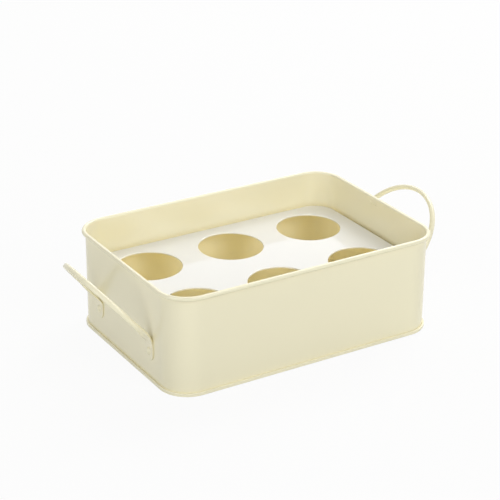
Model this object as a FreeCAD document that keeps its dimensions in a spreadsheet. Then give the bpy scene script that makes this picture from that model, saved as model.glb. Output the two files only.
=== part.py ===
"""Egg holder: a painted sheet-steel box with two rod handles and a lift-out plate for six eggs.

Millimetres. +X runs along the box, -Y is the front, +Z is up, and the box stands on Z = 0
with the middle of its base at the origin.
"""
import FreeCAD
import Part
import Sketcher

import math
import os

from FreeCAD import Placement, Rotation, Vector

# Driving dimensions: alias, value, meaning.
SIZES = [
    ("wall_length", 177.4, "outside length of the wall band"),
    ("wall_width", 121.5, "outside width of the wall band"),
    ("wall_height", 61.9, "floor to the top of the rolled rim"),
    ("corner_radius", 16.7, "outside radius of the upright corners"),
    ("sheet", 0.5, "thickness of the wall and base sheet"),
    ("wire_diameter", 1.6, "wire that the rim is rolled round"),
    ("wire_gap", 0.03, "clearance between the wire and the rolled rim"),
    ("curl_gap", 0.15, "slit between the end of the roll and the wall"),
    ("lap_width", 6.0, "overlap where the two ends of the wall band meet"),
    ("lap_place", 4.8, "middle of that overlap along the right end wall"),
    ("hem_width", 0.7, "how far the wall's turned-out lower edge stands out"),
    ("hem_height", 1.0, "height of that turned-out edge"),
    ("seam_gap", 0.05, "clearance between the wall's edge and the base that grips it"),
    ("foot_round", 0.35, "rounding of the foot ring's outer edges"),
    ("plate_top", 39.5, "top face of the egg plate above the ground"),
    ("plate_sheet", 0.8, "thickness of the egg plate"),
    ("plate_gap", 1.9, "gap between the egg plate and the wall"),
    ("plate_round", 0.4, "rounding of the egg plate's top edges"),
    ("plate_seat", 0.1, "clearance under the egg plate's legs"),
    ("leg_relief", 4.0, "distance from the legs' ends to the start of the corners"),
    ("hole_diameter", 40.0, "egg holes"),
    ("cells_inset_long", 1.4, "each end of the plate to the equal cells that hold one egg hole each"),
    ("cells_inset_short", 0.15, "each long side of the plate to those cells"),
    ("rod_width", 3.0, "handle rod, square to the loop"),
    ("rod_thick", 2.5, "handle rod, across the loop"),
    ("rod_round", 1.1, "rounding of the rod's edges"),
    ("handle_span", 61.8, "middle to middle of a handle's two riveted ends"),
    ("handle_reach", 46.8, "knees to the far end of the round loop, along its slope"),
    ("handle_tilt", 50.0, "slope of the loop above the horizontal, degrees"),
    ("knee_height", 26.0, "height where the rod turns away from the wall"),
    ("neck_turn", 26.0, "part of the loop over which the rod's flat end grows round, degrees"),
    ("paddle_width", 9.0, "width of the riveted flat ends"),
    ("paddle_thick", 0.8, "thickness of the riveted flat ends"),
    ("paddle_round", 0.3, "rounding of the flat ends' edges where they leave the wall"),
    ("paddle_foot", 12.8, "height of the lower end of the flat ends"),
    ("paddle_head", 22.6, "height where the flat ends leave the wall"),
    ("rivet_height", 18.6, "rivet centres above the ground"),
    ("rivet_head", 4.8, "rivet head diameter"),
    ("rivet_dome", 1.3, "rivet head height"),
    ("rivet_shank", 2.6, "rivet shank diameter"),
    ("rivet_tail", 4.2, "diameter of the rivet's set end inside the wall"),
    ("rivet_tail_dome", 0.8, "height of the set end"),
    ("rivet_gap", 0.02, "clearance round the rivet shank"),
]
HOLES_LONG = 3
HOLES_SHORT = 2
NECK_SECTIONS = 5
CURVE_PULL = 2 / 3
TOUCHING = 1e-6

doc = FreeCAD.newDocument("egg_holder")
sheet = doc.addObject("Spreadsheet::Sheet", "dims")
for row, (alias, value, meaning) in enumerate(SIZES, start=1):
    sheet.set("A%d" % row, meaning)
    sheet.set("B%d" % row, str(value))
    sheet.setAlias("B%d" % row, alias)
doc.recompute()


def size(alias):
    """Value of one driving dimension."""
    return float(sheet.get(alias))


def evaluate(expression):
    """Value of an expression in the sheet's aliases."""
    return float(sheet.evalExpression(expression))


def new_body(label):
    body = doc.addObject("PartDesign::Body", label)
    body.Label = label
    return body


def sketch_at(body, name, placement=None):
    """Sketch on the body's ground plane, moved to a place of its own."""
    sketch = body.newObject("Sketcher::SketchObject", name)
    ground = [plane for plane in body.Origin.OriginFeatures if plane.Role == "XY_Plane"][0]
    sketch.AttachmentSupport = (ground, [""])
    sketch.MapMode = "FlatFace"
    sketch.AttachmentOffset = placement or Placement()
    return sketch


def bind(sketch, constraint, expression):
    """Adds a sized constraint and ties it to the sheet."""
    index = sketch.addConstraint(constraint)
    sketch.setExpression("Constraints[%d]" % index, expression)


def lift(sketch, expression):
    """Raises a sketch to a height given by the sheet."""
    sketch.setExpression(".AttachmentOffset.Base.z", expression)


def rounded_rectangle(sketch, length, width, radius):
    """Rounded rectangle about the sketch's origin; the three sizes are expressions."""
    half_x = evaluate(length) / 2
    half_y = evaluate(width) / 2
    r = evaluate(radius)
    in_x = half_x - r
    in_y = half_y - r
    right = sketch.addGeometry(Part.LineSegment(Vector(half_x, -in_y), Vector(half_x, in_y)))
    top = sketch.addGeometry(Part.LineSegment(Vector(in_x, half_y), Vector(-in_x, half_y)))
    left = sketch.addGeometry(Part.LineSegment(Vector(-half_x, in_y), Vector(-half_x, -in_y)))
    bottom = sketch.addGeometry(Part.LineSegment(Vector(-in_x, -half_y), Vector(in_x, -half_y)))
    sides = [right, top, left, bottom]
    centres = [Vector(in_x, in_y), Vector(-in_x, in_y), Vector(-in_x, -in_y), Vector(in_x, -in_y)]
    corners = []
    for quarter, centre in enumerate(centres):
        circle = Part.Circle(centre, Vector(0, 0, 1), r)
        start = quarter * math.pi / 2
        corners.append(sketch.addGeometry(Part.ArcOfCircle(circle, start, start + math.pi / 2)))
    for quarter, corner in enumerate(corners):
        before = sides[quarter]
        after = sides[(quarter + 1) % 4]
        sketch.addConstraint(Sketcher.Constraint("Tangent", before, 2, corner, 1))
        sketch.addConstraint(Sketcher.Constraint("Tangent", corner, 2, after, 1))
    sketch.addConstraint(Sketcher.Constraint("Vertical", right))
    sketch.addConstraint(Sketcher.Constraint("Horizontal", top))
    sketch.addConstraint(Sketcher.Constraint("Equal", corners[0], corners[1]))
    sketch.addConstraint(Sketcher.Constraint("Equal", corners[0], corners[2]))
    sketch.addConstraint(Sketcher.Constraint("Symmetric", right, 1, left, 1, -1, 1))
    bind(sketch, Sketcher.Constraint("Radius", corners[0], r), radius)
    bind(sketch, Sketcher.Constraint("Distance", left, 1, right, 2 * half_x), length)
    bind(sketch, Sketcher.Constraint("Distance", bottom, 1, top, 2 * half_y), width)
    return sides


def circle_at(sketch, x, y, radius):
    """Circle whose centre and radius are expressions."""
    centre = Vector(evaluate(x), evaluate(y))
    r = evaluate(radius)
    circle = sketch.addGeometry(Part.Circle(centre, Vector(0, 0, 1), r))
    bind(sketch, Sketcher.Constraint("Radius", circle, r), radius)
    for kind, place, expression in (("DistanceX", centre.x, x), ("DistanceY", centre.y, y)):
        if abs(place) < TOUCHING:
            on_axis = -2 if kind == "DistanceX" else -1
            sketch.addConstraint(Sketcher.Constraint("PointOnObject", circle, 3, on_axis))
        else:
            bind(sketch, Sketcher.Constraint(kind, -1, 1, circle, 3, place), expression)


def box_outline(sketch, low_x, low_y, high_x, high_y):
    """Rectangle between two corners, all four places expressions."""
    x0 = evaluate(low_x)
    y0 = evaluate(low_y)
    x1 = evaluate(high_x)
    y1 = evaluate(high_y)
    points = [Vector(x0, y0), Vector(x1, y0), Vector(x1, y1), Vector(x0, y1)]
    lines = []
    for index, point in enumerate(points):
        lines.append(sketch.addGeometry(Part.LineSegment(point, points[(index + 1) % 4])))
    for index, line in enumerate(lines):
        sketch.addConstraint(Sketcher.Constraint("Coincident", line, 2, lines[(index + 1) % 4], 1))
        direction = "Horizontal" if index % 2 == 0 else "Vertical"
        sketch.addConstraint(Sketcher.Constraint(direction, line))
    bind(sketch, Sketcher.Constraint("DistanceX", -1, 1, lines[0], 1, x0), low_x)
    bind(sketch, Sketcher.Constraint("DistanceY", -1, 1, lines[0], 1, y0), low_y)
    bind(sketch, Sketcher.Constraint("DistanceX", -1, 1, lines[1], 2, x1), high_x)
    bind(sketch, Sketcher.Constraint("DistanceY", -1, 1, lines[1], 2, y1), high_y)


def pad(body, sketch, length, name, reverse=False):
    feature = body.newObject("PartDesign::Pad", name)
    feature.Profile = sketch
    feature.Reversed = reverse
    feature.setExpression("Length", length)
    return feature


def round_top(body, base, height, radius, name):
    """Rounds every edge that lies level at a height."""
    doc.recompute()
    level = ["Edge%d" % index for index, edge in enumerate(base.Shape.Edges, start=1)
             if all(abs(vertex.Z - height) < TOUCHING for vertex in edge.Vertexes)]
    feature = body.newObject("PartDesign::Fillet", name)
    feature.Base = (base, level)
    feature.setExpression("Radius", radius)
    return feature


def wall_outline(sketch, out="0"):
    """The walls' outer outline seen from above, with every side moved outwards by an expression."""
    rounded_rectangle(sketch, "dims.wall_length + 2 * (%s)" % out, "dims.wall_width + 2 * (%s)" % out,
                      "dims.corner_radius + (%s)" % out)


# Heights and half sizes that several pieces share, as expressions.
HEM_FOOT = "dims.sheet + dims.seam_gap"
FOOT_HEIGHT = "2 * dims.sheet + 2 * dims.seam_gap + dims.hem_height"
FOOT_OUT = "dims.hem_width + dims.seam_gap + dims.sheet"
PLATE_INSET = "(dims.sheet + dims.plate_gap)"
PLATE_LENGTH = "(dims.wall_length - 2 * %s)" % PLATE_INSET
PLATE_WIDTH = "(dims.wall_width - 2 * %s)" % PLATE_INSET
PLATE_RADIUS = "(dims.corner_radius - %s)" % PLATE_INSET
HOLE_PITCH_LONG = "(%s - 2 * dims.cells_inset_long) / %d" % (PLATE_LENGTH, HOLES_LONG)
HOLE_PITCH_SHORT = "(%s - 2 * dims.cells_inset_short) / %d" % (PLATE_WIDTH, HOLES_SHORT)
WIRE_HEIGHT = "dims.wall_height - dims.wire_diameter / 2 - dims.wire_gap - dims.sheet"
WIRE_OUT = "dims.wire_diameter / 2 + dims.wire_gap"
RIVET_HOLE = "dims.rivet_shank / 2 + dims.rivet_gap"
HALF_SPAN = "dims.handle_span / 2"
LOOP_RADIUS = "((%s) ^ 2 + dims.handle_reach ^ 2) / (2 * dims.handle_reach)" % HALF_SPAN
LOOP_CENTRE = "dims.handle_reach - " + LOOP_RADIUS
KNEE_ANGLE = "acos(1 - dims.handle_reach / (%s))" % LOOP_RADIUS
ARCH_ANGLE = "%s - dims.neck_turn * 1 deg" % KNEE_ANGLE

FACING_X = Rotation(Vector(0, 1, 0), Vector(0, 0, 1), Vector(1, 0, 0), "ZXY")
FACING_FRONT = Rotation(Vector(1, 0, 0), Vector(0, 0, 1), Vector(0, -1, 0), "ZXY")


def rim_path(body):
    """Centre line of the rim wire."""
    path = sketch_at(body, "rim_path")
    lift(path, WIRE_HEIGHT)
    wall_outline(path, WIRE_OUT)
    return path


def section_at_right(body, name, out, height):
    """Upright sketch across the middle of the right end wall, out from its outer face and up."""
    section = sketch_at(body, name, Placement(Vector(0, 0, 0), FACING_FRONT))
    section.setExpression(".AttachmentOffset.Base.x", "dims.wall_length / 2 + %s" % out)
    section.setExpression(".AttachmentOffset.Base.z", height)
    return section


def round_the_box(body, kind, section, path, name):
    """Carries an upright section round a plan path, keeping it upright."""
    feature = body.newObject("PartDesign::" + kind, name)
    feature.Profile = section
    feature.Spine = (path, [])
    feature.Mode = "Binormal"
    feature.Binormal = Vector(0, 0, 1)
    return feature


def make_wall_band():
    """One strip of sheet bent round, lapped on the right, rolled at the top and turned out below."""
    body = new_body("wall_band")
    plan = sketch_at(body, "wall_plan")
    lift(plan, HEM_FOOT)
    wall_outline(plan)
    wall_outline(plan, "-dims.sheet")
    pad(body, plan, "%s - (%s)" % (WIRE_HEIGHT, HEM_FOOT), "wall")

    hem_plan = sketch_at(body, "hem_plan")
    lift(hem_plan, HEM_FOOT)
    wall_outline(hem_plan, "dims.hem_width")
    wall_outline(hem_plan, "-dims.sheet")
    pad(body, hem_plan, "dims.hem_height", "turned_out_hem")

    roll = section_at_right(body, "roll_section", WIRE_OUT, WIRE_HEIGHT)
    inner = evaluate(WIRE_OUT)
    outer = inner + size("sheet")
    end = math.pi + math.acos((inner - size("curl_gap")) / outer)
    arcs = []
    for radius in (inner, outer):
        circle = Part.Circle(Vector(0, 0, 0), Vector(0, 0, 1), radius)
        arcs.append(roll.addGeometry(Part.ArcOfCircle(circle, end - 2 * math.pi, math.pi)))
    for at in (1, 2):
        points = [roll.getPoint(arc, at) for arc in arcs]
        line = roll.addGeometry(Part.LineSegment(*points))
        roll.addConstraint(Sketcher.Constraint("Coincident", line, 1, arcs[0], at))
        roll.addConstraint(Sketcher.Constraint("Coincident", line, 2, arcs[1], at))
    for arc, expression in zip(arcs, (WIRE_OUT, WIRE_OUT + " + dims.sheet")):
        roll.addConstraint(Sketcher.Constraint("Coincident", arc, 3, -1, 1))
        bind(roll, Sketcher.Constraint("Radius", arc, evaluate(expression)), expression)
        roll.addConstraint(Sketcher.Constraint("PointOnObject", arc, 2, -1))
    round_the_box(body, "AdditivePipe", roll, rim_path(body), "rolled_rim")

    lap = sketch_at(body, "lap_outline", Placement(Vector(0, 0, 0), FACING_X))
    lap.setExpression(".AttachmentOffset.Base.x", "dims.wall_length / 2")
    below_roll = "%s - (%s) - dims.sheet - dims.curl_gap" % (WIRE_HEIGHT, WIRE_OUT)
    box_outline(lap, "dims.lap_place - dims.lap_width / 2", "%s + dims.seam_gap" % FOOT_HEIGHT,
                "dims.lap_place + dims.lap_width / 2", below_roll)
    pad(body, lap, "dims.sheet", "lap_seam")

    rivets = sketch_at(body, "rivet_holes", Placement(Vector(0, 0, 0), FACING_X))
    for side in ("", "-"):
        circle_at(rivets, side + "(%s)" % HALF_SPAN, "dims.rivet_height", RIVET_HOLE)
    holes = body.newObject("PartDesign::Pocket", "rivet_holes_cut")
    holes.Profile = rivets
    holes.Midplane = True
    holes.setExpression("Length", "dims.wall_length + 2 * dims.sheet")
    return body


def make_rim_wire():
    """Round wire inside the rolled rim."""
    body = new_body("rim_wire")
    section = section_at_right(body, "wire_section", WIRE_OUT, WIRE_HEIGHT)
    circle_at(section, "0", "0", "dims.wire_diameter / 2")
    round_the_box(body, "AdditivePipe", section, rim_path(body), "wire")
    return body


def make_base_pan():
    """Recessed floor whose edge is folded round the wall's turned-out hem to make the foot ring."""
    body = new_body("base_pan")
    plan = sketch_at(body, "foot_plan")
    wall_outline(plan, FOOT_OUT)
    blank = pad(body, plan, FOOT_HEIGHT, "blank")
    round_top(body, blank, evaluate(FOOT_HEIGHT), "dims.foot_round", "foot_edge")

    under = sketch_at(body, "recess_plan")
    wall_outline(under, "-(2 * dims.sheet + dims.seam_gap)")
    recess = body.newObject("PartDesign::Pocket", "recess")
    recess.Profile = under
    recess.Reversed = True
    recess.setExpression("Length", "%s - dims.sheet" % FOOT_HEIGHT)

    path = sketch_at(body, "seam_path")
    wall_outline(path)
    slot = section_at_right(body, "seam_section", "0", "0 mm")
    gap = size("seam_gap")
    left = -size("sheet") - gap
    floor = size("sheet")
    shoulder = floor + size("hem_height") + 2 * gap
    above = evaluate(FOOT_HEIGHT) + size("sheet")
    right = size("hem_width") + gap
    corners = [Vector(left, floor), Vector(right, floor), Vector(right, shoulder), Vector(gap, shoulder),
               Vector(gap, above), Vector(left, above)]
    for index, corner in enumerate(corners):
        slot.addGeometry(Part.LineSegment(corner, corners[(index + 1) % len(corners)]))
    round_the_box(body, "SubtractivePipe", slot, path, "seam_slot")
    return body


def make_egg_plate():
    """Lift-out plate with six egg holes, its two ends folded down as legs that stand on the floor."""
    body = new_body("egg_plate")
    plan = sketch_at(body, "plate_plan")
    lift(plan, "dims.plate_top - dims.plate_sheet")
    wall_outline(plan, "-" + PLATE_INSET)
    for along in range(HOLES_LONG):
        for across in range(HOLES_SHORT):
            x = "%g * %s" % (along - (HOLES_LONG - 1) / 2, HOLE_PITCH_LONG)
            y = "%g * %s" % (across - (HOLES_SHORT - 1) / 2, HOLE_PITCH_SHORT)
            circle_at(plan, x, y, "dims.hole_diameter / 2")
    plate = pad(body, plan, "dims.plate_sheet", "plate")
    round_top(body, plate, size("plate_top"), "dims.plate_round", "plate_edges")

    leg_foot = "%s + dims.plate_seat" % FOOT_HEIGHT
    legs = sketch_at(body, "leg_plan")
    lift(legs, leg_foot)
    half_leg = "(%s / 2 - %s - dims.leg_relief)" % (PLATE_WIDTH, PLATE_RADIUS)
    outer = "(%s / 2)" % PLATE_LENGTH
    inner = "(%s / 2 - dims.plate_sheet)" % PLATE_LENGTH
    box_outline(legs, inner, "-" + half_leg, outer, half_leg)
    box_outline(legs, "-" + outer, "-" + half_leg, "-" + inner, half_leg)
    pad(body, legs, "dims.plate_top - dims.plate_sheet - (%s)" % leg_foot, "legs")
    return body


def between(share, first, last):
    """Expression for a size that lies a share of the way from one size to another."""
    return "(1 - %g) * dims.%s + %g * dims.%s" % (share, first, share, last)


def make_handle(label):
    """Right handle: a rod bent to a round sloping loop, its ends hammered flat on the wall and rounded."""
    body = new_body(label)
    half_span = evaluate(HALF_SPAN)
    radius = evaluate(LOOP_RADIUS)
    up_slope = Rotation(Vector(0, 1, 0), -size("handle_tilt"))
    knee = Vector(size("wall_length") / 2 + size("paddle_thick") / 2, 0, size("knee_height"))
    square = up_slope.multVec(Vector(0, 0, 1))

    # The arch is the part of the loop between the two necks.
    path = sketch_at(body, "arch_path", Placement(knee, up_slope))
    centre = Vector(evaluate(LOOP_CENTRE), 0)
    arch_angle = math.radians(evaluate(ARCH_ANGLE))
    loop = Part.Circle(centre, Vector(0, 0, 1), radius)
    arc = path.addGeometry(Part.ArcOfCircle(loop, -arch_angle, arch_angle))
    path.addConstraint(Sketcher.Constraint("PointOnObject", arc, 3, -1))
    path.addConstraint(Sketcher.Constraint("Symmetric", arc, 1, arc, 2, -1))
    bind(path, Sketcher.Constraint("Radius", arc, radius), LOOP_RADIUS)
    bind(path, Sketcher.Constraint("DistanceX", -1, 1, arc, 3, centre.x), LOOP_CENTRE)
    bind(path, Sketcher.Constraint("Angle", arc, 2 * arch_angle), "2 * (%s)" % ARCH_ANGLE)

    # The neck turns from the flat end on the wall to the rod that stands square to the loop.
    outward = up_slope.multVec(Vector(math.cos(arch_angle), -math.sin(arch_angle), 0))
    onward = up_slope.multVec(Vector(math.sin(arch_angle), math.cos(arch_angle), 0))
    flat = Rotation(Vector(0, -1, 0), Vector(1, 0, 0), Vector(0, 0, 1), "ZXY")
    on_edge = Rotation(square, outward, onward, "ZXY")
    neck_start = Vector(knee.x, -half_span, size("paddle_head"))
    neck_end = knee + up_slope.multVec(centre) + outward * radius
    neck_run = radius * math.radians(size("neck_turn"))
    # Handles of a smooth curve that leaves the wall upwards and joins the loop along it.
    lower_pull = neck_start + Vector(0, 0, 1) * (size("knee_height") - size("paddle_head")) * CURVE_PULL
    upper_pull = neck_end - onward * neck_run * CURVE_PULL
    sections = []
    for index in range(NECK_SECTIONS):
        share = index / (NECK_SECTIONS - 1)
        rest = 1 - share
        place = neck_start * rest ** 3 + lower_pull * 3 * rest ** 2 * share
        place = place + upper_pull * 3 * rest * share ** 2 + neck_end * share ** 3
        # The neck turns and thickens slowly at first, so that it clears the wall before it swings round.
        eased = share ** 2
        turned = Placement(place, flat.slerp(on_edge, eased))
        section = sketch_at(body, "neck_section_%d" % index, turned)
        width = between(share, "paddle_width", "rod_width")
        thick = between(eased, "paddle_thick", "rod_thick")
        rounded_rectangle(section, width, thick, between(eased, "paddle_round", "rod_round"))
        sections.append(section)

    rod = sketch_at(body, "rod_section", Placement(neck_end, on_edge))
    rounded_rectangle(rod, "dims.rod_width", "dims.rod_thick", "dims.rod_round")
    arch = body.newObject("PartDesign::AdditivePipe", "arch")
    arch.Profile = rod
    arch.Spine = (path, [])
    arch.Mode = "Binormal"
    arch.Binormal = square

    neck = body.newObject("PartDesign::AdditiveLoft", "neck")
    neck.Profile = sections[0]
    neck.Sections = [(section, [""]) for section in sections[1:]]

    paddle = sketch_at(body, "paddle_outline", Placement(Vector(0, 0, 0), FACING_X))
    paddle.setExpression(".AttachmentOffset.Base.x", "dims.wall_length / 2")
    half = size("paddle_width") / 2
    bottom = Part.Circle(Vector(-half_span, size("paddle_foot") + half), Vector(0, 0, 1), half)
    end = paddle.addGeometry(Part.ArcOfCircle(bottom, math.pi, 2 * math.pi))
    tops = [Vector(-half_span - half, size("paddle_head")), Vector(-half_span + half, size("paddle_head"))]
    sides = [paddle.addGeometry(Part.LineSegment(paddle.getPoint(end, at), tops[at - 1])) for at in (1, 2)]
    across = paddle.addGeometry(Part.LineSegment(*tops))
    for at, side in enumerate(sides, start=1):
        paddle.addConstraint(Sketcher.Constraint("Tangent", side, 1, end, at))
        paddle.addConstraint(Sketcher.Constraint("Coincident", side, 2, across, at))
    paddle.addConstraint(Sketcher.Constraint("Horizontal", across))
    bind(paddle, Sketcher.Constraint("Radius", end, half), "dims.paddle_width / 2")
    bind(paddle, Sketcher.Constraint("DistanceX", -1, 1, end, 3, -half_span), "-(%s)" % HALF_SPAN)
    bind(paddle, Sketcher.Constraint("DistanceY", -1, 1, end, 3, size("paddle_foot") + half),
         "dims.paddle_foot + dims.paddle_width / 2")
    bind(paddle, Sketcher.Constraint("DistanceY", -1, 1, across, 1, size("paddle_head")), "dims.paddle_head")
    circle_at(paddle, "-(%s)" % HALF_SPAN, "dims.rivet_height", RIVET_HOLE)
    flat_end = pad(body, paddle, "dims.paddle_thick", "paddle")

    rear = body.newObject("PartDesign::Mirrored", "rear_end")
    rear.Originals = [neck, flat_end]
    middle = [plane for plane in body.Origin.OriginFeatures if plane.Role == "XZ_Plane"][0]
    rear.MirrorPlane = (middle, [""])
    body.Tip = rear
    return body


def make_left_handle(right_handle):
    left = doc.addObject("Part::Mirroring", "left_handle")
    left.Label = "left_handle"
    left.Source = right_handle
    left.Normal = Vector(1, 0, 0)
    left.Base = Vector(0, 0, 0)
    return left


def make_rivet(label, end, side):
    """Round-headed rivet through a flat end and the wall, with its set end inside."""
    body = new_body(label)
    profile = sketch_at(body, "rivet_profile", Placement(Vector(0, 0, 0), FACING_FRONT))
    under_head = size("paddle_thick")
    under_tail = -size("sheet")
    shank = size("rivet_shank") / 2

    def cap(base, radius, rise, way):
        """Half of a shallow dome: its circle's centre on the axis and its two ends."""
        ball = (radius ** 2 + rise ** 2) / (2 * rise)
        reach = math.asin(radius / ball)
        centre = Vector(base + way * (rise - ball), 0)
        start = 0 if way > 0 else math.pi - reach
        circle = Part.Circle(centre, Vector(0, 0, 1), ball)
        return Part.ArcOfCircle(circle, start, start + reach)

    head = size("rivet_head") / 2
    tail = size("rivet_tail") / 2
    profile.addGeometry(cap(under_head, head, size("rivet_dome"), 1))
    profile.addGeometry(cap(under_tail, tail, size("rivet_tail_dome"), -1))
    outline = [Vector(under_head, head), Vector(under_head, shank), Vector(under_tail, shank),
               Vector(under_tail, tail)]
    for start, stop in zip(outline, outline[1:]):
        profile.addGeometry(Part.LineSegment(start, stop))
    tips = (Vector(under_head + size("rivet_dome"), 0), Vector(under_tail - size("rivet_tail_dome"), 0))
    profile.addGeometry(Part.LineSegment(*tips))
    turned = body.newObject("PartDesign::Revolution", "turned")
    turned.Profile = profile
    turned.ReferenceAxis = (profile, ["H_Axis"])
    turned.Angle = 360
    facing = Rotation(Vector(0, 0, 1), 0 if end > 0 else 180)
    body.Placement = Placement(Vector(0, 0, 0), facing)
    body.setExpression(".Placement.Base.x", "%d * dims.wall_length / 2" % end)
    body.setExpression(".Placement.Base.y", "%d * %s" % (side, HALF_SPAN))
    body.setExpression(".Placement.Base.z", "dims.rivet_height")
    return body


right_handle = make_handle("right_handle")
pieces = [make_wall_band(), make_rim_wire(), make_base_pan(), make_egg_plate(), right_handle,
          make_left_handle(right_handle)]
for end, end_name in ((-1, "left"), (1, "right")):
    for side, side_name in ((-1, "front"), (1, "rear")):
        pieces.append(make_rivet("%s_%s_rivet" % (end_name, side_name), end, side))
doc.recompute()

for item in doc.Objects:
    if "Invalid" in item.State or "Error" in item.State:
        raise RuntimeError("%s did not compute: %s" % (item.Name, item.State))
for piece in pieces:
    if piece.Shape.isNull() or not piece.Shape.isValid() or len(piece.Shape.Solids) != 1:
        raise RuntimeError("%s is not one valid solid" % piece.Label)

os.makedirs("parts", exist_ok=True)
for piece in pieces:
    piece.Shape.exportStep("parts/%s.step" % piece.Label)
    print("%s: %.1f mm3" % (piece.Label, piece.Shape.Volume))
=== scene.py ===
"""Looks of the egg holder: a painted sheet-metal box with a rolled rim, a loose plate for six eggs,
two riveted loop handles, and the studio they are shown in."""
import math

import bmesh
import bpy
from mathutils import Matrix, Quaternion, Vector


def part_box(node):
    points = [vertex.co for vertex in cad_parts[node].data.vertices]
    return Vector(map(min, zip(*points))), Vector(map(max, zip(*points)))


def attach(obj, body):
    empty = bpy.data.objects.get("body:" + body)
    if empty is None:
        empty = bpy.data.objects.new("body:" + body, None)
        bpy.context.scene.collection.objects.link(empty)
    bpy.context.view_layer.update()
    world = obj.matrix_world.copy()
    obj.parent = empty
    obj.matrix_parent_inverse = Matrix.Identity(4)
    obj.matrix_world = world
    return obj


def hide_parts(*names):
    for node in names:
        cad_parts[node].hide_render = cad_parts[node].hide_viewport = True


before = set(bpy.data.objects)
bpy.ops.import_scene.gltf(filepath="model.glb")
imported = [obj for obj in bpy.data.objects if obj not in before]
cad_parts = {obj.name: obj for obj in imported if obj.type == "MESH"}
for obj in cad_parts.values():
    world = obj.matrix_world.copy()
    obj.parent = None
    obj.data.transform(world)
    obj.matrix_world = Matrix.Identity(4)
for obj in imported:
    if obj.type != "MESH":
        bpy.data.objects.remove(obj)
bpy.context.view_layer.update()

bl_info = {
    "name": "Egg Holder",
    "version": (1, 0, 0),
    "blender": (4, 5, 0),
    "location": "View3D > Sidebar > Egg Holder",
    "description": "Builds a painted sheet-metal egg holder and its studio",
    "category": "Object",
}

WALL_LOW, WALL_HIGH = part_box("wall_band")
WIRE_LOW, WIRE_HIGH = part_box("rim_wire")
PAN_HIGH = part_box("base_pan")[1]
PLATE_LOW, PLATE_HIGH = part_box("egg_plate")

RIVETS = [end + "_" + side + "_rivet" for end in ("left", "right") for side in ("front", "rear")]

# Steps of the round shapes: enough that no facet shows at the size of a close photograph.
CORNER_STEPS = 18
ROLL_STEPS = 26
BEND_STEPS = 6
HOLE_STEPS = 96
NECK_STEPS = 18
ARCH_STEPS = 40
DOME_STEPS = 8
RIVET_SIDES = 40
FLOOR_SIDES = 96
# A row of points this close to a bend keeps the flat beside it flat under smooth shading.
FLAT_HOLD = 0.0006
# The dip inside the wall's lap: its ends, in rim radii below the middle of the rim, and the height of the
# ledges there.
NOTCH_FOOT, NOTCH_HEAD = 2.6, 1.4
NOTCH_SLOPE = 0.0001
# A rounding is at most the side over this, so that some flat is left.
ROUND_LIMIT = 2.2
# How far round its tip a handle's flat end starts, and the share of the neck's height and turn by which
# each end pulls the neck's curve.
TIP_TURN = math.radians(6)
NECK_PULL = 2 / 3
SHARP_ANGLE = math.radians(35)
TURN = 2 * math.pi
# Points closer than this are one point.
MERGE = 1e-6
# A face is square to an axis above this share of its normal; a bend starts beside it above this angle.
SQUARE = 0.99999
BEND_ANGLE = math.radians(6)

# The stoved paint's patterns, in millimetres: where the coat's colour and gloss drift, the sheet's waves and
# the orange peel, with the depth of the last two.
DRIFT_MM, CLOUD_MM, WAVE_MM, PEEL_MM = 90, 30, 40, 2
WAVE_DEPTH_MM, PEEL_DEPTH_MM = 0.04, 0.004
# Brightness of the coat where it is thinnest, and how far its roughness drifts either way.
THIN_COAT = 0.985
GLOSS_DRIFT = 0.02
# Spacing of the drawing lines on the wire, in millimetres.
LINE_MM = 0.2


def linear(hex_colour):
    """An sRGB hex colour as linear red, green and blue, and full alpha."""
    channels = [int(hex_colour[at:at + 2], 16) / 255 for at in (1, 3, 5)]
    return [c / 12.92 if c <= 0.04045 else ((c + 0.055) / 1.055) ** 2.4 for c in channels] + [1.0]


def length(name, description, millimetres):
    """A size that is shown in Blender's own unit and given here in millimetres."""
    return bpy.props.FloatProperty(name=name, description=description, default=millimetres / 1000,
                                   min=0.0, unit="LENGTH", precision=5)


def angle(name, description, degrees):
    """An angle that is given here in degrees."""
    return bpy.props.FloatProperty(name=name, description=description, default=math.radians(degrees),
                                   subtype="ANGLE")


def colour(name, description, hex_colour):
    """A paint's or metal's colour."""
    return bpy.props.FloatVectorProperty(name=name, description=description, default=linear(hex_colour),
                                         size=4, min=0.0, max=1.0, subtype="COLOR")


def power(name, description, watts):
    """The power of a lamp."""
    return bpy.props.FloatProperty(name=name, description=description, default=watts, min=0.0, unit="POWER")


class EggHolderBoxSizes(bpy.types.PropertyGroup):
    sheet: length("Sheet", "Thickness of the wall's and base's sheet", 0.5)
    corner_radius: length("Corner radius", "Outside radius of the wall's corners", 16.7)
    curl_gap: length("Curl gap", "Slit between the rolled rim's edge and the wall", 0.3)
    lap_width: length("Lap width", "Overlap of the wall strip's two ends", 6.0)
    lap_place: length("Lap place", "Middle of the overlap, behind the middle of the right end", 4.8)
    lap_notch: length("Lap notch", "Depth of the dip inside, where the inner end stops under the rim", 0.4)
    hem_width: length("Hem width", "How far the wall's lower edge is turned out", 0.7)
    hem_height: length("Hem height", "Height of the turned-out edge", 1.0)
    seam_gap: length("Seam gap", "Air between the folded base and the wall", 0.05)
    foot_round: length("Foot rounding", "Rounding of the foot ring's outer edges", 0.35)
    foot_groove: length("Foot groove", "Bevel of the foot ring's edge along the wall", 0.2)


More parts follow.
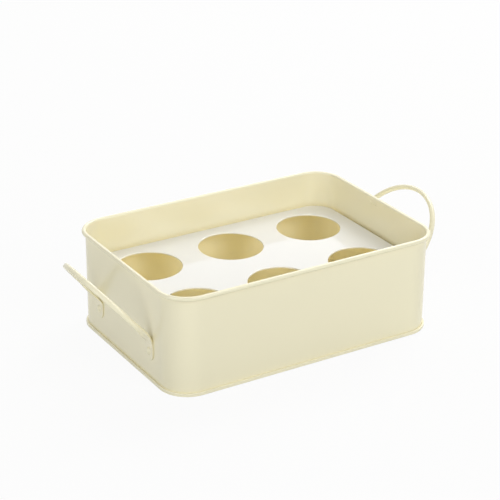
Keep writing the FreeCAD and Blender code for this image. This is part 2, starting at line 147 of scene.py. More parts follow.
class EggHolderPlateSizes(bpy.types.PropertyGroup):
    sheet: length("Plate sheet", "Thickness of the plate", 0.8)
    corner_radius: length("Plate corner radius", "Radius of the plate's corners", 14.3)
    edge_round: length("Edge rounding", "Rounding that pressing and paint give the plate's edges", 0.4)
    hole_diameter: length("Hole diameter", "Diameter of an egg hole", 40.0)
    holes_long: bpy.props.IntProperty(name="Holes in a row", description="Egg holes along the plate",
                                      default=3, min=1)
    rows: bpy.props.IntProperty(name="Rows", description="Rows of egg holes", default=2, min=1)
    inset_long: length("End margin", "Margin at the plate's ends that the holes' cells leave out", 1.4)
    inset_short: length("Side margin", "Margin at the plate's sides that the holes' cells leave out", 0.15)
    leg_relief: length("Leg relief", "Room between a leg's end and the plate's rounded corner", 4.0)


class EggHolderHandleSizes(bpy.types.PropertyGroup):
    rod_width: length("Rod width", "Width of the painted rod, square to the loop", 3.3)
    rod_thick: length("Rod thickness", "Thickness of the painted rod, across the loop", 2.8)
    rod_round: length("Rod rounding", "Rounding of the painted rod's edges", 1.25)
    span: length("Span", "Distance between the rod's two ends", 61.8)
    reach: length("Reach", "Length of the loop along its slope", 46.8)
    tilt: angle("Tilt", "Slope of the loop above level", 50.0)
    knee_height: length("Knee height", "Height at which the loop's plane meets the wall", 26.0)
    neck_turn: angle("Neck turn", "Part of the loop over which the flat end grows round", 26.0)
    paddle_width: length("End width", "Width of the rod's flat end", 9.0)
    paddle_thick: length("End thickness", "Thickness of the flat end", 0.8)
    paddle_round: length("End rounding", "Rounding of the flat end's edges", 0.3)
    paddle_foot: length("End foot", "Height of the flat end's lower edge", 12.8)
    paddle_head: length("End head", "Height at which the flat end leaves the wall", 22.6)
    rivet_height: length("Rivet height", "Height of the rivets", 18.6)
    rivet_head: length("Rivet head", "Diameter of the rivet's head", 4.8)
    rivet_dome: length("Rivet dome", "Rise of the rivet's head", 1.3)
    rivet_shank: length("Rivet shank", "Diameter of the rivet's shank", 2.6)
    rivet_tail: length("Rivet tail", "Diameter of the set end inside the wall", 4.2)
    rivet_tail_dome: length("Tail dome", "Rise of the set end", 0.8)


class EggHolderFinish(bpy.types.PropertyGroup):
    cream: colour("Cream paint", "Paint of the walls, base, handles and rivets", "#FAF4D5")
    off_white: colour("Plate paint", "Paint of the plate", "#F0EFEA")
    wire: colour("Wire steel", "Drawn steel of the rim wire", "#9C9A95")
    floor: colour("Studio floor", "Paper under the object", "#DCDCDA")
    key_power: power("Key light", "Power of the soft light behind on the right", 10.8)
    back_power: power("Back light", "Power of the soft light behind", 5.0)
    fill_power: power("Fill light", "Power of the soft light in front", 10.9)
    side_power: power("Side light", "Power of the soft light on the left", 8.5)
    ground_power: power("Ground light", "Power of the lit ground behind", 2.0)
    room_light: bpy.props.FloatProperty(name="Room light", description="Strength of the light all round",
                                        default=0.22, min=0.0)


def add_node(tree, kind, inputs=None, **settings):
    """Adds a node with its settings; an input takes a value, a link, or a list of links."""
    made = tree.nodes.new(kind)
    for name, value in settings.items():
        setattr(made, name, value)
    for key, value in (inputs or {}).items():
        for one in value if isinstance(value, list) else [value]:
            if isinstance(one, bpy.types.NodeSocket):
                tree.links.new(one, made.inputs[key])
            else:
                made.inputs[key].default_value = one
    return made


def new_material(name):
    """An empty node material."""
    material = bpy.data.materials.new(name)
    material.use_nodes = True
    material.node_tree.nodes.clear()
    return material, material.node_tree


def stoved_paint(name, paint, roughness, index):
    """Stoved enamel on pressed steel: a smooth, glossy or half-glossy coat. The eye gets a soft highlight, a
    fine orange-peel skin, sheet that isn't quite flat, and a coat whose colour and gloss drift a little
    where it ran thicker or thinner."""
    if name in bpy.data.materials:
        return bpy.data.materials[name]
    material, tree = new_material(name)
    place = add_node(tree, "ShaderNodeTexCoord").outputs["Object"]
    drift = add_node(tree, "ShaderNodeTexNoise", {"Vector": place, "Scale": 1000 / DRIFT_MM, "Detail": 0.0})
    tint = add_node(tree, "ShaderNodeValToRGB", {"Fac": drift.outputs[0]})
    thin, thick = tint.color_ramp.elements
    thin.position, thick.position = 0.1, 0.9
    thin.color = [c * THIN_COAT for c in paint[:3]] + [1.0]
    thick.color = list(paint)
    cloud = add_node(tree, "ShaderNodeTexNoise", {"Vector": place, "Scale": 1000 / CLOUD_MM, "Detail": 1.0})
    gloss = add_node(tree, "ShaderNodeMapRange",
                     {"Value": cloud.outputs[0], "From Min": 0.3, "From Max": 0.7,
                      "To Min": roughness - GLOSS_DRIFT, "To Max": roughness + GLOSS_DRIFT})
    waves = add_node(tree, "ShaderNodeTexNoise", {"Vector": place, "Scale": 1000 / WAVE_MM, "Detail": 1.0})
    wavy = add_node(tree, "ShaderNodeBump", {"Height": waves.outputs[0], "Strength": 1.0,
                                             "Distance": WAVE_DEPTH_MM / 1000})
    peel = add_node(tree, "ShaderNodeTexNoise", {"Vector": place, "Scale": 1000 / PEEL_MM, "Detail": 1.0})
    peeled = add_node(tree, "ShaderNodeBump", {"Height": peel.outputs[0], "Strength": 1.0,
                                               "Distance": PEEL_DEPTH_MM / 1000,
                                               "Normal": wavy.outputs[0]})
    coat = add_node(tree, "ShaderNodeBsdfPrincipled", {"Base Color": tint.outputs[0], "IOR": index,
                                                       "Roughness": gloss.outputs[0],
                                                       "Normal": peeled.outputs[0]})
    add_node(tree, "ShaderNodeOutputMaterial", {"Surface": coat.outputs[0]})
    return material


def drawn_steel_wire(paint):
    """Bright drawn steel wire: a dull grey gloss that fine drawing marks break up."""
    material, tree = new_material("drawn_steel_wire")
    place = add_node(tree, "ShaderNodeTexCoord").outputs["Object"]
    lines = add_node(tree, "ShaderNodeTexNoise", {"Vector": place, "Scale": 1000 / LINE_MM, "Detail": 2.0})
    gloss = add_node(tree, "ShaderNodeMapRange", {"Value": lines.outputs[0], "To Min": 0.25, "To Max": 0.45})
    steel = add_node(tree, "ShaderNodeBsdfPrincipled", {"Base Color": tuple(paint), "Metallic": 1.0,
                                                        "Roughness": gloss.outputs[0]})
    add_node(tree, "ShaderNodeOutputMaterial", {"Surface": steel.outputs[0]})
    return material


def cream_paint(finish):
    """Half-glossy cream of the box, its handles and rivets."""
    return stoved_paint("stoved_cream_enamel", finish.cream, roughness=0.24, index=1.55)


def plate_paint(finish):
    """Glossy off-white of the plate's top, which mirrors the wall behind it."""
    return stoved_paint("stoved_off_white_enamel", finish.off_white, roughness=0.08, index=1.65)


def new_object(name, mesh):
    """A mesh object at the origin, in the scene."""
    made = bpy.data.objects.new(name, mesh)
    bpy.context.scene.collection.objects.link(made)
    return made


def mesh_from(name, bm, material):
    """A closed mesh with outward faces, smooth except at its real edges."""
    bmesh.ops.remove_doubles(bm, verts=bm.verts, dist=MERGE)
    bmesh.ops.recalc_face_normals(bm, faces=bm.faces)
    mesh = bpy.data.meshes.new(name)
    bm.to_mesh(mesh)
    bm.free()
    smooth(mesh)
    mesh.materials.append(material)
    return mesh


def smooth(mesh):
    """Smooth shading, apart from the real edges. Faces square to an axis are the sheet's flats; where a bend
    starts beside one, that edge is sharp too, so that the flat stays flat."""
    mesh.shade_smooth()
    mesh.set_sharp_from_angle(angle=SHARP_ANGLE)
    bm = bmesh.new()
    bm.from_mesh(mesh)
    for edge in bm.edges:
        flats = [face for face in edge.link_faces if max(map(abs, face.normal)) > SQUARE]
        if flats and edge.calc_face_angle(0.0) > BEND_ANGLE:
            edge.smooth = False
    bm.to_mesh(mesh)
    bm.free()


def seat(piece, body, slot, *nodes):
    """Puts a finished piece on its CAD body, in place of its CAD nodes."""
    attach(piece, body)
    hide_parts(*nodes)


def spread(start, stop, steps):
    """Evenly spaced values from start to stop, both included."""
    return [start + (stop - start) * step / steps for step in range(steps + 1)]


def arc(centre, radius, start, stop, steps):
    """Points (out, height) of a round bend in a wall's section."""
    return [(centre[0] + radius * math.cos(a), centre[1] + radius * math.sin(a))
            for a in spread(start, stop, steps)]


def wall_half(box):
    """Half length and half width over the wall's outer faces, from the foot ring's CAD box."""
    foot_out = box.hem_width + box.seam_gap + box.sheet
    return PAN_HIGH.x - foot_out, PAN_HIGH.y - foot_out


def plan_stations(half_x, half_y, radius, marks=()):
    """Places round a rounded rectangle, counter-clockwise, each with its outward way.
    marks are further places on the right end, by their y."""
    found = []
    for corner, (side_x, side_y) in enumerate(((1, 1), (-1, 1), (-1, -1), (1, -1))):
        centre = Vector((side_x * (half_x - radius), side_y * (half_y - radius)))
        turns = spread(corner * TURN / 4, (corner + 1) * TURN / 4, CORNER_STEPS)
        ways = [Vector((math.cos(turn), math.sin(turn))) for turn in turns]
        ring = [(centre + way * radius, way) for way in ways]
        before, after = (Vector((-way.y, way.x)) * FLAT_HOLD for way in (ways[0], ways[-1]))
        found += [(ring[0][0] - before, ways[0]), *ring, (ring[-1][0] + after, ways[-1])]
    return found + [(Vector((half_x, y)), Vector((1, 0))) for y in sorted(marks)]


def sweep(bm, stations, sections, closed):
    """Skins the sections (out, height), one for each station. Returns the rings."""
    rings = [[bm.verts.new((*(place + way * out), height)) for out, height in section]
             for (place, way), section in zip(stations, sections)]
    rows = len(rings[0]) if closed else len(rings[0]) - 1
    for ring, after in zip(rings, rings[1:] + rings[:1]):
        for row in range(rows):
            beyond = (row + 1) % len(ring)
            bm.faces.new((ring[row], after[row], after[beyond], ring[beyond]))
    return rings


def rounded_outline(width, thickness, rounding):
    """Points (across, through) of a rectangle with rounded corners."""
    rounding = min(rounding, width / ROUND_LIMIT, thickness / ROUND_LIMIT)
    points = []
    for corner, (side_x, side_y) in enumerate(((1, 1), (-1, 1), (-1, -1), (1, -1))):
        centre = (side_x * (width / 2 - rounding), side_y * (thickness / 2 - rounding))
        points += arc(centre, rounding, corner * TURN / 4, (corner + 1) * TURN / 4, BEND_STEPS)
    return points


def skin(bm, outlines):
    """Joins outlines of points, one after another, to a closed shape."""
    rings = [[bm.verts.new(point) for point in outline] for outline in outlines]
    for ring, after in zip(rings, rings[1:]):
        for row in range(len(ring)):
            beyond = (row + 1) % len(ring)
            bm.faces.new((ring[row], ring[beyond], after[beyond], after[row]))
    for ring in (rings[0], rings[-1]):
        bm.faces.new(ring)


class EGGHOLDER_OT_wall_band(bpy.types.Operator):
    """Wall strip with its rolled rim, turned-out lower edge and lapped ends"""
    bl_idname = "egg_holder.wall_band"
    bl_label = "Wall band"

    def execute(self, context):
        box = context.scene.egg_holder_box
        roll_height = (WIRE_LOW.z + WIRE_HIGH.z) / 2
        outer = WALL_HIGH.z - roll_height
        inner = outer - box.sheet
        # The roll starts at the wall, goes over the top and outwards, and ends close to the wall below.
        last = math.acos((inner - box.curl_gap) / outer) - math.pi
        foot = WALL_LOW.z
        hem = foot + box.hem_height
        lap_low, lap_high = PAN_HIGH.z + box.seam_gap, roll_height - outer - box.curl_gap
        notch_low, notch_high = (roll_height - radii * outer for radii in (NOTCH_FOOT, NOTCH_HEAD))

        def section(lap):
            """Outline of the bent sheet; lap is 1 where the strip's two ends lie on each other."""
            step, dip = lap * box.sheet, lap * box.lap_notch
            inside = [(0, foot), (0, notch_low - NOTCH_SLOPE), (dip, notch_low), (dip, notch_high),
                      (0, notch_high + NOTCH_SLOPE), (0, roll_height - FLAT_HOLD)]
            outside = [(0, roll_height - FLAT_HOLD), (0, lap_high + FLAT_HOLD), (step, lap_high),
                       (step, lap_low + FLAT_HOLD), (0, lap_low), (0, hem),
                       (box.hem_width, hem), (box.hem_width, foot)]
            return ([(out - box.sheet, height) for out, height in inside]
                    + arc((inner, roll_height), outer, math.pi, last, ROLL_STEPS)
                    + arc((inner, roll_height), inner, last, math.pi, ROLL_STEPS)
                    + outside)

        edges = [box.lap_place - box.lap_width / 2, box.lap_place + box.lap_width / 2]
        marks = [edges[0] - FLAT_HOLD, edges[0], edges[1], edges[1] + FLAT_HOLD]
        stations = plan_stations(*wall_half(box), box.corner_radius, marks)
        laps = [1 if way.y == 0 and place.y in edges else 0 for place, way in stations]
        bm = bmesh.new()
        sweep(bm, stations, [section(lap) for lap in laps], closed=True)
        wall = new_object("painted_wall", mesh_from("painted_wall", bm,
                                                    cream_paint(context.scene.egg_holder_finish)))
        seat(wall, "box", "cream_paint", "wall_band")
        return {"FINISHED"}


class EGGHOLDER_OT_base_pan(bpy.types.Operator):
    """Floor sheet whose edge is folded round the wall's lower edge as a foot ring"""
    bl_idname = "egg_holder.base_pan"
    bl_label = "Base pan"

    def execute(self, context):
        box = context.scene.egg_holder_box
        top, round_off = PAN_HIGH.z, box.foot_round
        floor_under = top - box.sheet
        hem_out = box.hem_width + box.seam_gap
        foot_out = hem_out + box.sheet
        wall_in = -(box.sheet + box.seam_gap)
        section = [(wall_in, top), (wall_in, box.sheet), (hem_out, box.sheet), (hem_out, floor_under),
                   (box.seam_gap, floor_under), (box.seam_gap, top - box.foot_groove),
                   (box.seam_gap + box.foot_groove, top)]
        section += arc((foot_out - round_off, top - round_off), round_off, TURN / 4, 0, BEND_STEPS)
        section += arc((foot_out - round_off, round_off), round_off, 0, -TURN / 4, BEND_STEPS)
        section += [(wall_in - box.sheet, 0), (wall_in - box.sheet, floor_under)]
        stations = plan_stations(*wall_half(box), box.corner_radius)
        bm = bmesh.new()
        rings = sweep(bm, stations, [section] * len(stations), closed=False)
        bm.faces.new([ring[0] for ring in rings])
        bm.faces.new([ring[-1] for ring in rings])
        pan = new_object("painted_base", mesh_from("painted_base", bm,
                                                   cream_paint(context.scene.egg_holder_finish)))
        seat(pan, "box", "cream_paint", "base_pan")
        return {"FINISHED"}


def new_tree(name, sizes):
    """An empty Geometry Nodes tree with the named inputs, and its group input's sockets."""
    tree = bpy.data.node_groups.new(name, "GeometryNodeTree")
    tree.interface.new_socket(name="Geometry", in_out="OUTPUT", socket_type="NodeSocketGeometry")
    for label, kind in sizes.items():
        tree.interface.new_socket(name=label, in_out="INPUT", socket_type="NodeSocket" + kind)
    return tree, add_node(tree, "NodeGroupInput").outputs


def grown(name, tree, values):
    """Runs a tree on an empty mesh and keeps its result as a plain mesh object."""
    maker = new_object(name, bpy.data.meshes.new(name + "_start"))
    modifier = maker.modifiers.new(name, "NODES")
    modifier.node_group = tree
    for item in tree.interface.items_tree:
        if item.in_out == "INPUT":
            modifier[item.identifier] = values[item.name]
    seen = maker.evaluated_get(bpy.context.evaluated_depsgraph_get())
    mesh = bpy.data.meshes.new_from_object(seen)
    if not mesh.polygons:
        raise RuntimeError(name + ": the tree made no faces")
    maker.modifiers.remove(modifier)
    empty, maker.data = maker.data, mesh
    bpy.data.meshes.remove(empty)
    mesh.name = name
    bm = bmesh.new()
    bm.from_mesh(mesh)
    bmesh.ops.recalc_face_normals(bm, faces=bm.faces)
    bm.to_mesh(mesh)
    bm.free()
    smooth(mesh)
    return maker


def pierced_plate_tree():
    """A rounded plate pierced by rows of round holes, its two ends folded down as legs. The rounded edges
    of the plate and of one hole come in as strips; the flats between them are filled here."""
    tree, size = new_tree("pierced_plate", {
        "Plate Edge": "Object", "Hole Edge": "Object", "Leg": "Object", "Top": "Float", "Underside": "Float",
        "Holes In Row": "Int", "Rows": "Int", "Row Length": "Float", "Row Distance": "Float",
        "Leg Distance": "Float", "Ground Coat": "Material", "Top Coat": "Material"})

    def copies(shape, long, wide, count_long, count_wide):
        """Copies of a shape on a grid about the middle."""
        grid = add_node(tree, "GeometryNodeMeshGrid", {"Size X": long, "Size Y": wide,
                                                       "Vertices X": count_long, "Vertices Y": count_wide})
        one = add_node(tree, "GeometryNodeObjectInfo", {"Object": shape, "As Instance": True})
        placed = add_node(tree, "GeometryNodeInstanceOnPoints",
                          {"Points": grid.outputs[0], "Instance": one.outputs["Geometry"]})
        return add_node(tree, "GeometryNodeRealizeInstances", {"Geometry": placed.outputs[0]}).outputs[0]

    outline = add_node(tree, "GeometryNodeObjectInfo", {"Object": size["Plate Edge"]}).outputs["Geometry"]
    holes = copies(size["Hole Edge"], size["Row Length"], size["Row Distance"], size["Holes In Row"],
                   size["Rows"])
    strips = add_node(tree, "GeometryNodeJoinGeometry", {"Geometry": [outline, holes]}).outputs[0]
    height = add_node(tree, "ShaderNodeSeparateXYZ", {
        "Vector": add_node(tree, "GeometryNodeInputPosition").outputs[0]}).outputs["Z"]
    flats = []
    for level in (size["Top"], size["Underside"]):
        border = add_node(tree, "ShaderNodeMath", {0: height, 1: level, 2: MERGE}, operation="COMPARE")
        loops = add_node(tree, "GeometryNodeMeshToCurve", {"Mesh": strips, "Selection": border.outputs[0]})
        flat = add_node(tree, "GeometryNodeFillCurve", {"Curve": loops.outputs[0]}, mode="TRIANGLES")
        rise = add_node(tree, "ShaderNodeCombineXYZ", {"Z": level})
        raised = add_node(tree, "GeometryNodeTransform",
                          {"Geometry": flat.outputs[0], "Translation": rise.outputs[0]})
        flats.append(raised.outputs[0])
    shell = add_node(tree, "GeometryNodeJoinGeometry", {"Geometry": [strips, *flats]})
    closed = add_node(tree, "GeometryNodeMergeByDistance", {"Geometry": shell.outputs[0], "Distance": MERGE})
    legs = copies(size["Leg"], size["Leg Distance"], 0.0, 2, 1)
    both = add_node(tree, "GeometryNodeJoinGeometry", {"Geometry": [closed.outputs[0], legs]})
    whole = add_node(tree, "GeometryNodeRealizeInstances", {"Geometry": both.outputs[0]})
    coated = add_node(tree, "GeometryNodeSetMaterial",
                      {"Geometry": whole.outputs[0], "Material": size["Ground Coat"]})
    # The top coat is sprayed from above, so it stops at the underside.
    above = add_node(tree, "ShaderNodeMath", {0: size["Underside"], 1: MERGE}, operation="ADD")
    sprayed = add_node(tree, "ShaderNodeMath", {0: height, 1: above.outputs[0]}, operation="GREATER_THAN")
    painted = add_node(tree, "GeometryNodeSetMaterial",
                       {"Geometry": coated.outputs[0], "Selection": sprayed.outputs[0],
                        "Material": size["Top Coat"]})
    add_node(tree, "NodeGroupOutput", {"Geometry": painted.outputs[0]})
    return tree


class EGGHOLDER_OT_egg_plate(bpy.types.Operator):
    """Loose plate with its egg holes and folded legs"""
    bl_idname = "egg_holder.egg_plate"
    bl_label = "Egg plate"

    def execute(self, context):
        plate = context.scene.egg_holder_plate
        finish = context.scene.egg_holder_finish
        long, wide = PLATE_HIGH.x - PLATE_LOW.x, PLATE_HIGH.y - PLATE_LOW.y
        top, underside = PLATE_HIGH.z, PLATE_HIGH.z - plate.sheet
        cell_long = (long - 2 * plate.inset_long) / plate.holes_long
        cell_short = (wide - 2 * plate.inset_short) / plate.rows
        shapes = self.shapes(plate, long, wide, top, underside, plate_paint(finish))
        made = grown("painted_plate", pierced_plate_tree(), {
            **shapes, "Top": top, "Underside": underside, "Holes In Row": plate.holes_long,
            "Rows": plate.rows, "Row Length": cell_long * (plate.holes_long - 1),
            "Row Distance": cell_short * (plate.rows - 1), "Leg Distance": long - plate.sheet,
            "Ground Coat": cream_paint(finish), "Top Coat": plate_paint(finish)})
        for shape in shapes.values():
            bpy.data.objects.remove(shape)
        seat(made, "plate", "plate_paint", "egg_plate")
        return {"FINISHED"}

    def shapes(self, plate, long, wide, top, underside, paint):
        """The plate's outer edge, one hole's edge, and one leg."""
        bend = plate.edge_round
        lip = arc((-bend, top - bend), bend, TURN / 4, 0, BEND_STEPS) + [(0, underside)]
        ways = [Vector((math.cos(turn), math.sin(turn))) for turn in spread(0, TURN, HOLE_STEPS)[:-1]]
        round_hole = [(way * plate.hole_diameter / 2, -way) for way in ways]
        made = {}
        for name, stations in (("Plate Edge", plan_stations(long / 2, wide / 2, plate.corner_radius)),
                               ("Hole Edge", round_hole)):
            bm = bmesh.new()
            sweep(bm, stations, [lip] * len(stations), closed=False)
            made[name] = new_object(name, mesh_from(name, bm, paint))
        leg_width = wide - 2 * (plate.corner_radius + plate.leg_relief)
        outline = rounded_outline(plate.sheet, leg_width, bend)
        bm = bmesh.new()
        skin(bm, [[(x, y, height) for x, y in outline] for height in (PLATE_LOW.z, underside)])
        made["Leg"] = new_object("Leg", mesh_from("Leg", bm, paint))
        return made


def rod_places(handle, wall_x):
    """Places along the right handle's rod: middle, way across the width, way through the thickness,
    and the outline's width, thickness and rounding."""
    half = handle.span / 2
    radius = (half ** 2 + handle.reach ** 2) / (2 * handle.reach)
    arch = math.acos(1 - handle.reach / radius) - handle.neck_turn
    up = Vector((math.cos(handle.tilt), 0, math.sin(handle.tilt)))
    square = Vector((-math.sin(handle.tilt), 0, math.cos(handle.tilt)))
    aside = Vector((0, 1, 0))
    knee = Vector((wall_x + handle.paddle_thick / 2, 0, handle.knee_height))
    centre = knee + up * (handle.reach - radius)

    def round_loop(turn):
        outward = up * math.cos(turn) + aside * math.sin(turn)
        return centre + outward * radius, square, outward, rod

    rod = Vector((handle.rod_width, handle.rod_thick, handle.rod_round))
    paddle = Vector((handle.paddle_width, handle.paddle_thick, handle.paddle_round))
    flat_wide, flat_thick = Vector((0, -1, 0)), Vector((1, 0, 0))
    end = handle.paddle_width / 2
    places = []
    for turn in spread(TIP_TURN, TURN / 4, 2 * BEND_STEPS):
        height = handle.paddle_foot + end * (1 - math.cos(turn))
        places.append((Vector((knee.x, -half, height)), flat_wide, flat_thick,
                       Vector((2 * end * math.sin(turn), *paddle.yz))))

    # The neck leaves the wall upwards, turns and thickens slowly at first, and joins the loop along it.
    low = Vector((knee.x, -half, handle.paddle_head))
    high, _, outward, _ = round_loop(-arch)
    onward = up * math.sin(arch) + aside * math.cos(arch)
    low_pull = low + Vector((0, 0, handle.knee_height - handle.paddle_head)) * NECK_PULL
    high_pull = high - onward * radius * handle.neck_turn * NECK_PULL
    flat = Matrix((flat_wide, flat_thick, Vector((0, 0, 1)))).transposed().to_quaternion()
    on_edge = Matrix((square, outward, onward)).transposed().to_quaternion()
    for share in spread(0, 1, NECK_STEPS):
        rest = 1 - share
        middle = (low * rest ** 3 + low_pull * 3 * rest ** 2 * share
                  + high_pull * 3 * rest * share ** 2 + high * share ** 3)
        turned = flat.slerp(on_edge, share ** 2)
        outline = paddle.lerp(rod, share ** 2)
        outline.x = rest * paddle.x + share * rod.x
        places.append((middle, turned @ Vector((1, 0, 0)), turned @ Vector((0, 1, 0)), outline))
    places += [round_loop(turn) for turn in spread(-arch, 0, ARCH_STEPS)[1:]]
    mirror = Matrix.Diagonal((1, -1, 1))
    return places + [(mirror @ middle, mirror @ wide, mirror @ thick, outline)
                     for middle, wide, thick, outline in reversed(places[:-1])]


class EGGHOLDER_OT_handles(bpy.types.Operator):
    """Two loop handles of rod, with flat rounded ends"""
    bl_idname = "egg_holder.handles"
    bl_label = "Handles"

    def execute(self, context):
        handle = context.scene.egg_holder_handle
        paint = cream_paint(context.scene.egg_holder_finish)
        wall_x = wall_half(context.scene.egg_holder_box)[0]
        for side, way in (("right", 1), ("left", -1)):
            bm = bmesh.new()
            outlines = []
            for middle, wide, thick, outline in rod_places(handle, wall_x):
                around = [middle + wide * across + thick * through
                          for across, through in rounded_outline(*outline)]
                outlines.append([(way * place.x, place.y, place.z) for place in around])
            skin(bm, outlines)
            made = new_object("painted_%s_loop" % side, mesh_from("painted_%s_loop" % side, bm, paint))
            seat(made, "box", "cream_paint", side + "_handle")
        return {"FINISHED"}


def rivet_shape(handle, sheet):
    """One round-headed rivet along +X, with the wall's outer face at x = 0."""
    def dome(base, radius, rise, way):
        ball = (radius ** 2 + rise ** 2) / (2 * rise)
        reach = math.asin(radius / ball)
        return [(base + way * (rise - ball + ball * math.cos(a)), ball * math.sin(a))
                for a in spread(0, reach, DOME_STEPS)]

    head = dome(handle.paddle_thick, handle.rivet_head / 2, handle.rivet_dome, 1)
    tail = dome(-sheet, handle.rivet_tail / 2, handle.rivet_tail_dome, -1)
    shank = handle.rivet_shank / 2
    outline = head + [(handle.paddle_thick, shank), (-sheet, shank)] + tail[::-1]
    bm = bmesh.new()
    verts = [bm.verts.new((x, radius, 0)) for x, radius in outline]
    edges = [bm.edges.new(pair) for pair in zip(verts, verts[1:])]
    bmesh.ops.spin(bm, geom=verts + edges, cent=(0, 0, 0), axis=(1, 0, 0), angle=TURN,
                   steps=RIVET_SIDES, use_merge=True)
    return bm


def rivet_tree():
    """Copies of one rivet at both ends of both loops, each with its head outwards."""
    tree, size = new_tree("rivets", {"Rivet": "Object", "Between Ends": "Float", "Span": "Float",
                                     "Height": "Float", "Material": "Material"})
    grid = add_node(tree, "GeometryNodeMeshGrid", {"Size X": size["Between Ends"], "Size Y": size["Span"],
                                                   "Vertices X": 2, "Vertices Y": 2})
    rise = add_node(tree, "ShaderNodeCombineXYZ", {"Z": size["Height"]})
    places = add_node(tree, "GeometryNodeTransform",
                      {"Geometry": grid.outputs[0], "Translation": rise.outputs[0]})
    where = add_node(tree, "ShaderNodeSeparateXYZ",
                     {"Vector": add_node(tree, "GeometryNodeInputPosition").outputs[0]})
    left = add_node(tree, "ShaderNodeMath", {0: where.outputs["X"], 1: 0.0}, operation="LESS_THAN")
    half_turn = add_node(tree, "ShaderNodeMath", {0: left.outputs[0], 1: math.pi}, operation="MULTIPLY")
    about = add_node(tree, "ShaderNodeCombineXYZ", {"Z": half_turn.outputs[0]})
    shape = add_node(tree, "GeometryNodeObjectInfo", {"Object": size["Rivet"], "As Instance": True})
    copies = add_node(tree, "GeometryNodeInstanceOnPoints",
                      {"Points": places.outputs[0], "Instance": shape.outputs["Geometry"],
                       "Rotation": about.outputs[0]})
    solid = add_node(tree, "GeometryNodeRealizeInstances", {"Geometry": copies.outputs[0]})
    painted = add_node(tree, "GeometryNodeSetMaterial",
                       {"Geometry": solid.outputs[0], "Material": size["Material"]})
    add_node(tree, "NodeGroupOutput", {"Geometry": painted.outputs[0]})
    return tree


class EGGHOLDER_OT_rivets(bpy.types.Operator):
    """Four rivets that hold the handles on the wall"""
    bl_idname = "egg_holder.rivets"
    bl_label = "Rivets"

    def execute(self, context):
        box, handle = context.scene.egg_holder_box, context.scene.egg_holder_handle
        paint = cream_paint(context.scene.egg_holder_finish)
        one = new_object("one_rivet", mesh_from("one_rivet", rivet_shape(handle, box.sheet), paint))
        made = grown("painted_rivets", rivet_tree(), {
            "Rivet": one, "Between Ends": 2 * wall_half(box)[0], "Span": handle.span,
            "Height": handle.rivet_height, "Material": paint})
        bpy.data.objects.remove(one)
        seat(made, "box", "cream_paint", *RIVETS)
        return {"FINISHED"}


class EGGHOLDER_OT_rim_wire(bpy.types.Operator):
    """Finish of the wire that the rim is rolled round"""
    bl_idname = "egg_holder.rim_wire"
    bl_label = "Rim wire"

    def execute(self, context):
        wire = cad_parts["rim_wire"]
        wire.data.materials.clear()
        wire.data.materials.append(drawn_steel_wire(context.scene.egg_holder_finish.wire))
        return {"FINISHED"}


# The photograph's viewpoint: turn and rise round the box, roll, distance, and how far the view's middle
# lies to the side of and above the middle of the box's foot.
VIEW_TURN, VIEW_RISE, VIEW_ROLL = (math.radians(degrees) for degrees in (-31.604, 24.423, 0.492))
VIEW_DISTANCE, VIEW_ASIDE, VIEW_ABOVE = 1.00688, -0.00349, 0.04380
LENS, SENSOR = 119.32, 36.0
FLOOR_RADIUS = 4.0
# Share of the floor that the eye sees as plain white; the rest takes the shadow.
FLOOR_WHITE = 0.93
# Pale paint passes light on many times before it leaves the space under the plate.
BOUNCES = 32
# Each soft light's name, place and width in metres, and the setting of its power.
LIGHTS = (("key_light", (0.95, 0.45, 1.10), 0.7, "key_power"),
          ("back_light", (0.25, 0.95, 1.15), 0.9, "back_power"),
          ("fill_light", (0.30, -1.35, 0.95), 1.0, "fill_power"),
          ("side_light", (-1.45, -0.55, 0.55), 1.2, "side_power"),
          ("ground_light", (0.85, 1.40, 0.70), 1.3, "ground_power"))


def seen_directly(tree):
    """1 for rays that show a thing to the eye, straight or mirrored, and 0 for light that falls on it."""
    path = add_node(tree, "ShaderNodeLightPath").outputs
    shine = add_node(tree, "ShaderNodeMath", {0: path["Is Glossy Ray"], 1: path["Is Transmission Ray"]},
                     operation="MAXIMUM")
    return add_node(tree, "ShaderNodeMath", {0: path["Is Camera Ray"], 1: shine.outputs[0]},
                    operation="MAXIMUM").outputs[0]


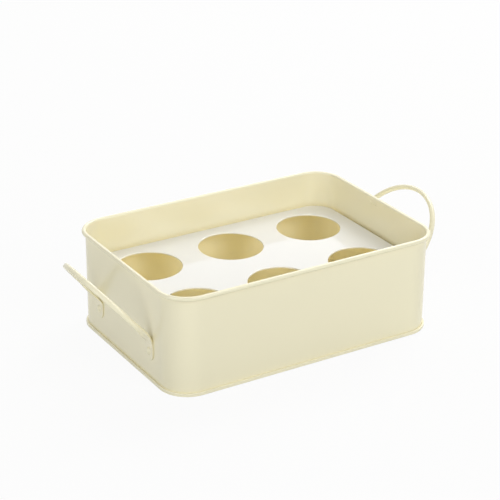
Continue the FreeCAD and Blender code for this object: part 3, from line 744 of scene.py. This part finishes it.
class EGGHOLDER_OT_stage(bpy.types.Operator):
    """White paper floor, soft lights and the camera"""
    bl_idname = "egg_holder.stage"
    bl_label = "Studio"

    def execute(self, context):
        finish = context.scene.egg_holder_finish
        self.lay_floor(finish)
        self.light_room(context.scene, finish)
        for name, place, width, setting in LIGHTS:
            self.hang_light(name, place, width, getattr(finish, setting))
        self.place_camera(context.scene)
        context.scene.view_settings.view_transform = "Standard"
        context.scene.cycles.diffuse_bounces = BOUNCES
        context.scene.cycles.max_bounces = BOUNCES
        return {"FINISHED"}

    def lay_floor(self, finish):
        """Matt white paper: seen mostly as plain white, but it takes the object's soft shadow."""
        bm = bmesh.new()
        bmesh.ops.create_circle(bm, cap_ends=True, segments=FLOOR_SIDES, radius=FLOOR_RADIUS)
        material, tree = new_material("matt_paper")
        paper = add_node(tree, "ShaderNodeBsdfDiffuse", {"Color": tuple(finish.floor)})
        white = add_node(tree, "ShaderNodeEmission", {"Strength": 1.0})
        share = add_node(tree, "ShaderNodeMath", {0: seen_directly(tree), 1: FLOOR_WHITE},
                         operation="MULTIPLY")
        mixed = add_node(tree, "ShaderNodeMixShader", {0: share.outputs[0], 1: paper.outputs[0],
                                                       2: white.outputs[0]})
        add_node(tree, "ShaderNodeOutputMaterial", {"Surface": mixed.outputs[0]})
        new_object("studio_floor", mesh_from("studio_floor", bm, material))

    def light_room(self, scene, finish):
        """Even white light from all round, and a white ground behind the object."""
        scene.world = bpy.data.worlds.new("white_room")
        scene.world.use_nodes = True
        tree = scene.world.node_tree
        tree.nodes.clear()
        room = add_node(tree, "ShaderNodeBackground", {"Strength": finish.room_light})
        ground = add_node(tree, "ShaderNodeBackground", {"Strength": 1.0})
        for light in (room, ground):
            light.inputs["Color"].default_value = (1, 1, 1, 1)
        mixed = add_node(tree, "ShaderNodeMixShader", {0: seen_directly(tree), 1: room.outputs[0],
                                                       2: ground.outputs[0]})
        add_node(tree, "ShaderNodeOutputWorld", {"Surface": mixed.outputs[0]})

    def hang_light(self, name, place, width, watts):
        """A square soft light that faces the middle of the box."""
        light = bpy.data.lights.new(name, "AREA")
        light.size = width
        light.energy = watts
        lamp = bpy.data.objects.new(name, light)
        bpy.context.scene.collection.objects.link(lamp)
        lamp.location = place
        aim = Vector((0, 0, PLATE_HIGH.z)) - lamp.location
        lamp.rotation_euler = aim.to_track_quat("-Z", "Y").to_euler()

    def place_camera(self, scene):
        """The photograph's view."""
        back = Vector((math.sin(VIEW_TURN) * math.cos(VIEW_RISE), -math.cos(VIEW_TURN) * math.cos(VIEW_RISE),
                       math.sin(VIEW_RISE)))
        right = Vector((math.cos(VIEW_TURN), math.sin(VIEW_TURN), 0))
        above = back.cross(right)
        roll = Quaternion(back, VIEW_ROLL)
        lens = bpy.data.cameras.new("photo_view")
        lens.lens, lens.sensor_width = LENS, SENSOR
        camera = bpy.data.objects.new("photo_view", lens)
        scene.collection.objects.link(camera)
        axes = Matrix((roll @ right, roll @ above, back)).transposed().to_4x4()
        place = back * VIEW_DISTANCE + right * VIEW_ASIDE + above * VIEW_ABOVE
        camera.matrix_world = Matrix.Translation(place) @ axes
        scene.camera = camera


STEPS = (EGGHOLDER_OT_wall_band, EGGHOLDER_OT_base_pan, EGGHOLDER_OT_egg_plate, EGGHOLDER_OT_handles,
         EGGHOLDER_OT_rivets, EGGHOLDER_OT_rim_wire, EGGHOLDER_OT_stage)
GROUPS = {"egg_holder_box": EggHolderBoxSizes, "egg_holder_plate": EggHolderPlateSizes,
          "egg_holder_handle": EggHolderHandleSizes, "egg_holder_finish": EggHolderFinish}


class EGGHOLDER_PT_panel(bpy.types.Panel):
    """Sizes, finishes and steps of the egg holder"""
    bl_idname = "EGGHOLDER_PT_panel"
    bl_label = "Egg Holder"
    bl_space_type = "VIEW_3D"
    bl_region_type = "UI"
    bl_category = "Egg Holder"

    def draw(self, context):
        for name, group in GROUPS.items():
            box = self.layout.box()
            for size in group.__annotations__:
                box.prop(getattr(context.scene, name), size)
        for step in STEPS:
            self.layout.operator(step.bl_idname)


def register():
    for kind in (*GROUPS.values(), *STEPS, EGGHOLDER_PT_panel):
        bpy.utils.register_class(kind)
    for name, group in GROUPS.items():
        setattr(bpy.types.Scene, name, bpy.props.PointerProperty(type=group))


def unregister():
    for name in GROUPS:
        delattr(bpy.types.Scene, name)
    for kind in (EGGHOLDER_PT_panel, *reversed(STEPS), *reversed(list(GROUPS.values()))):
        bpy.utils.unregister_class(kind)


def main():
    register()
    for step in STEPS:
        getattr(bpy.ops.egg_holder, step.bl_idname.split(".")[1])()


if __name__ == "__main__":
    main()
